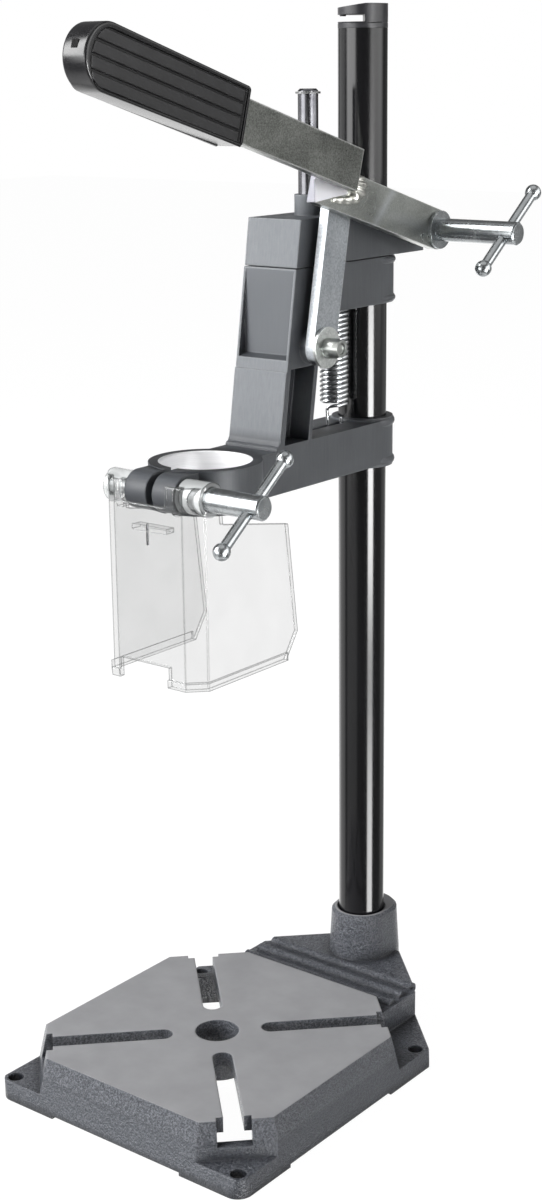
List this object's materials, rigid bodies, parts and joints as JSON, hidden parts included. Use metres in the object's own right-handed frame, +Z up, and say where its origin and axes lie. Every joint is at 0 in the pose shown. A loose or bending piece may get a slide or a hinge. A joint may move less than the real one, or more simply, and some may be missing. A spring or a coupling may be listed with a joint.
{
  "type": "bench drill stand",
  "caption": "Drill stand with slotted cast table, round column, clamped head, hand lever, sprung carriage with split drill collar, and a clear hinged chip guard.",
  "frame": {"origin": "the drilling axis where it meets the bench, in the centre of the four bolt holes", "axes": "+Z up along the drilling axis, +Y from the drilling axis towards the column, +X to the lever's side"},
  "size_m": [0.16, 0.2938, 0.5371],
  "materials": {
    "cast_iron": "rough cast with a machined top",
    "black_steel": "black oxide",
    "column_black": "gloss black",
    "cap_plastic": "satin",
    "casting": "dark grey paint",
    "zinc": "zinc plated",
    "bright_zinc": "bright zinc",
    "grip_plastic": "ribbed",
    "spring_steel": "drawn wire",
    "clear_plastic": "clear"
  },
  "bodies": {
    "base": {"base_casting": "cast_iron", "column_screw": "black_steel"},
    "column": {"column_tube": "column_black", "column_cap": "cap_plastic"},
    "head": {"head_casting": "casting", "clamp_nut": "zinc", "lever_spacer": "zinc", "spring_pin_upper": "zinc"},
    "clamp": {"clamp_bolt": "bright_zinc", "clamp_washer": "bright_zinc"},
    "clamp_tommy": {"clamp_bar": "bright_zinc"},
    "lever": {"lever_plate": "zinc", "lever_bar": "zinc", "lever_weld": "zinc", "lever_grip": "grip_plastic", "link_stud": "zinc"},
    "link": {"link_bar": "zinc"},
    "carriage": {"carriage_casting": "casting", "guide_rod": "bright_zinc", "rod_circlip": "black_steel", "link_pin": "zinc", "link_washer": "bright_zinc", "link_nut": "zinc", "spring_pin_lower": "zinc", "return_spring": "spring_steel"},
    "collar_clamp": {"collar_bolt": "bright_zinc", "collar_clip": "black_steel"},
    "collar_tommy": {"collar_bar": "bright_zinc"},
    "guard": {"chip_guard": "clear_plastic", "guard_pin": "black_steel"}
  },
  "joints": [
    {"name": "column_turn", "type": "hinge", "parent": "base", "child": "column", "pos_m": [0, 0.1275, 0.04], "axis": [0, 0, 1], "continuous": true},
    {"name": "head_height", "type": "slide", "parent": "column", "child": "head", "axis": [0, 0, 1], "range_m": [-0.13, 0.085]},
    {"name": "feed", "type": "slide", "parent": "head", "child": "carriage", "axis": [0, 0, 1], "range_m": [-0.047, 0], "stiffness_N_per_m": 400, "springref_m": 0.05, "deforming": ["return_spring"]},
    {"name": "lever_swing", "type": "hinge", "parent": "head", "child": "lever", "pos_m": [0, 0.1515, 0.4265], "axis": [1, 0, 0], "range_deg": [-0.5, 36]},
    {"name": "link_swing", "type": "hinge", "parent": "carriage", "child": "link", "pos_m": [0, 0.0616, 0.3766], "axis": [1, 0, 0], "range_deg": [-0.5, 2.5]},
    {"name": "clamp_turn", "type": "hinge", "parent": "head", "child": "clamp", "pos_m": [0, 0.1515, 0.4265], "axis": [1, 0, 0], "continuous": true},
    {"name": "clamp_bar_slide", "type": "slide", "parent": "clamp", "child": "clamp_tommy", "axis": [0, 0.8039, 0.5948], "range_m": [-0.0202, 0.0158]},
    {"name": "collar_turn", "type": "hinge", "parent": "carriage", "child": "collar_clamp", "pos_m": [0, -0.0317, 0.3189], "axis": [1, 0, 0], "continuous": true},
    {"name": "collar_bar_slide", "type": "slide", "parent": "collar_clamp", "child": "collar_tommy", "axis": [0, 0.8039, 0.5948], "range_m": [-0.0191, 0.0169]},
    {"name": "guard_swing", "type": "hinge", "parent": "carriage", "child": "guard", "pos_m": [0, -0.0317, 0.3189], "axis": [-1, 0, 0], "range_deg": [0, 92]}
  ],
  "couplings": [
    {"joint": "lever_swing", "follows": "feed", "rad_per_m": -12.767},
    {"joint": "link_swing", "follows": "feed", "rad_per_m": -0.55702}
  ]
}
